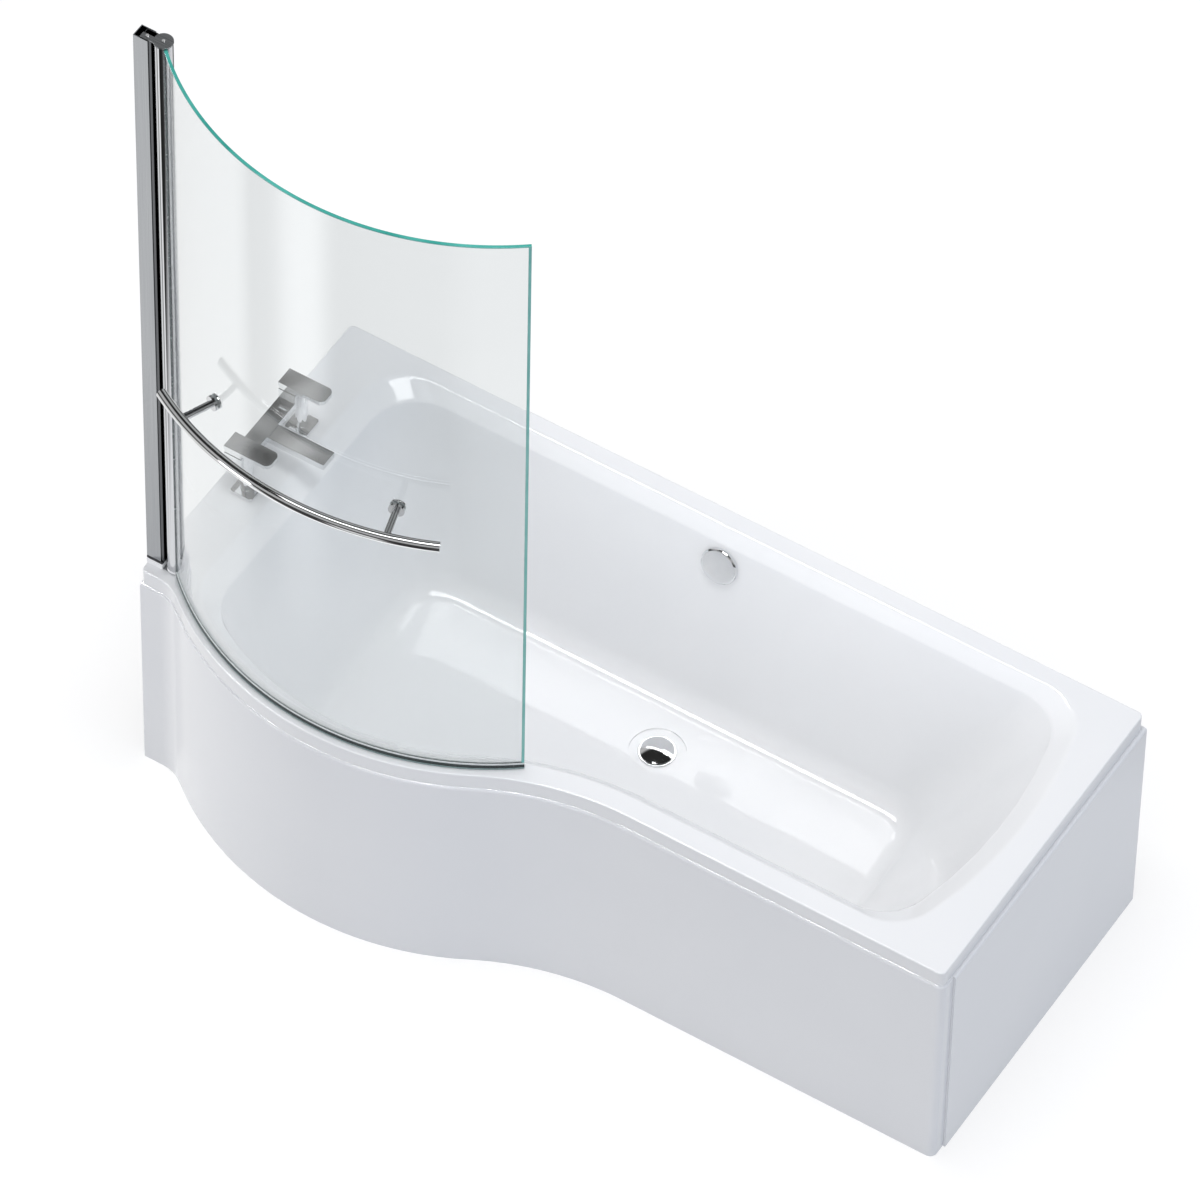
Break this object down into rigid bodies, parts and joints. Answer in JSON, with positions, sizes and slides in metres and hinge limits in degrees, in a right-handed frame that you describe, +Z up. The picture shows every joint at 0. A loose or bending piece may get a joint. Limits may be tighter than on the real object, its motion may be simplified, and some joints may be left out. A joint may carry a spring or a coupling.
{
  "type": "p shaped shower bath",
  "caption": "Curved shower bath with a hinged curved glass screen, towel rail, bridge filler, pop up waste, overflow and front and end panels.",
  "frame": {"origin": "on the floor under the middle of the whole object's box", "axes": "+X along the bath from the tap end to the narrow end, +Y towards the back wall, +Z up"},
  "size_m": [1.708, 0.915, 1.9836],
  "materials": {
    "acrylic": "glossy white acrylic",
    "panel": "glossy white acrylic sheet",
    "wood": "raw board and timber",
    "steel": "zinc plated",
    "black_plastic": "moulded",
    "rubber": "matt",
    "seal": "translucent grey seal",
    "white_plastic": "moulded",
    "brass": "machined",
    "chrome": "polished chrome plate",
    "polished_aluminium": "polished",
    "arm_steel": "brushed",
    "clear_plastic": "clear",
    "glass": "toughened clear glass with green edges"
  },
  "bodies": {
    "bath": {"bath_shell": "acrylic", "front_panel": "panel", "end_panel": "panel", "base_board": "wood", "batten_front": "wood", "batten_bulge": "wood", "batten_end": "wood", "batten_back": "wood", "batten_tap": "wood", "cross_bar_tap": "steel", "cross_bar_mid": "steel", "cross_bar_end": "steel", "bar_screws": "steel", "levelling_rods": "steel", "rod_nuts": "steel", "wall_brackets": "steel", "bracket_screws": "steel", "panel_clips": "steel", "clip_screws": "steel", "foot_pads": "black_plastic", "waste_gasket": "rubber", "overflow_gasket": "rubber", "deck_washers": "rubber", "channel_pad": "rubber", "waste_body": "white_plastic", "overflow_body": "white_plastic", "overflow_pipe": "white_plastic", "pipe_nuts": "white_plastic", "trap_nut": "white_plastic", "trap_body": "white_plastic", "trap_outlet_nut": "white_plastic", "foot_block": "white_plastic", "plug_cartridge": "brass", "tap_tails": "brass", "back_nuts": "brass", "valve_cartridges": "brass", "waste_flange": "chrome", "overflow_cover": "chrome", "filler_pillars": "chrome", "pillar_flanges": "chrome", "filler_body": "chrome", "wall_channel": "polished_aluminium", "post_profile": "polished_aluminium", "hinge_brackets": "arm_steel", "screen_screws": "arm_steel"},
    "screen": {"hinge_tube": "chrome", "tube_bushes": "white_plastic", "bottom_cap": "white_plastic", "glass_panel": "glass", "glass_gasket": "clear_plastic", "bottom_seal": "seal", "towel_rail": "chrome", "rail_posts": "chrome", "rail_washers": "clear_plastic", "rail_screws": "chrome"},
    "rear_lever": {"lever_rear": "chrome"},
    "front_lever": {"lever_front": "chrome"},
    "plug": {"waste_plug": "chrome", "plug_seal": "rubber"}
  },
  "joints": [
    {"name": "screen_swing", "type": "hinge", "parent": "bath", "child": "screen", "pos_m": [-0.8, -0.20598, 1.25], "axis": [0, 0, 1], "range_deg": [-40, 58]},
    {"name": "rear_lever_turn", "type": "hinge", "parent": "bath", "child": "rear_lever", "pos_m": [-0.816, 0.2025, 0.65], "axis": [0, 0, 1], "range_deg": [0, 90]},
    {"name": "front_lever_turn", "type": "hinge", "parent": "bath", "child": "front_lever", "pos_m": [-0.816, 0.0225, 0.65], "axis": [0, 0, -1], "range_deg": [0, 90]},
    {"name": "plug_lift", "type": "slide", "parent": "bath", "child": "plug", "axis": [0, 0, 1], "range_m": [0, 0.008]}
  ]
}
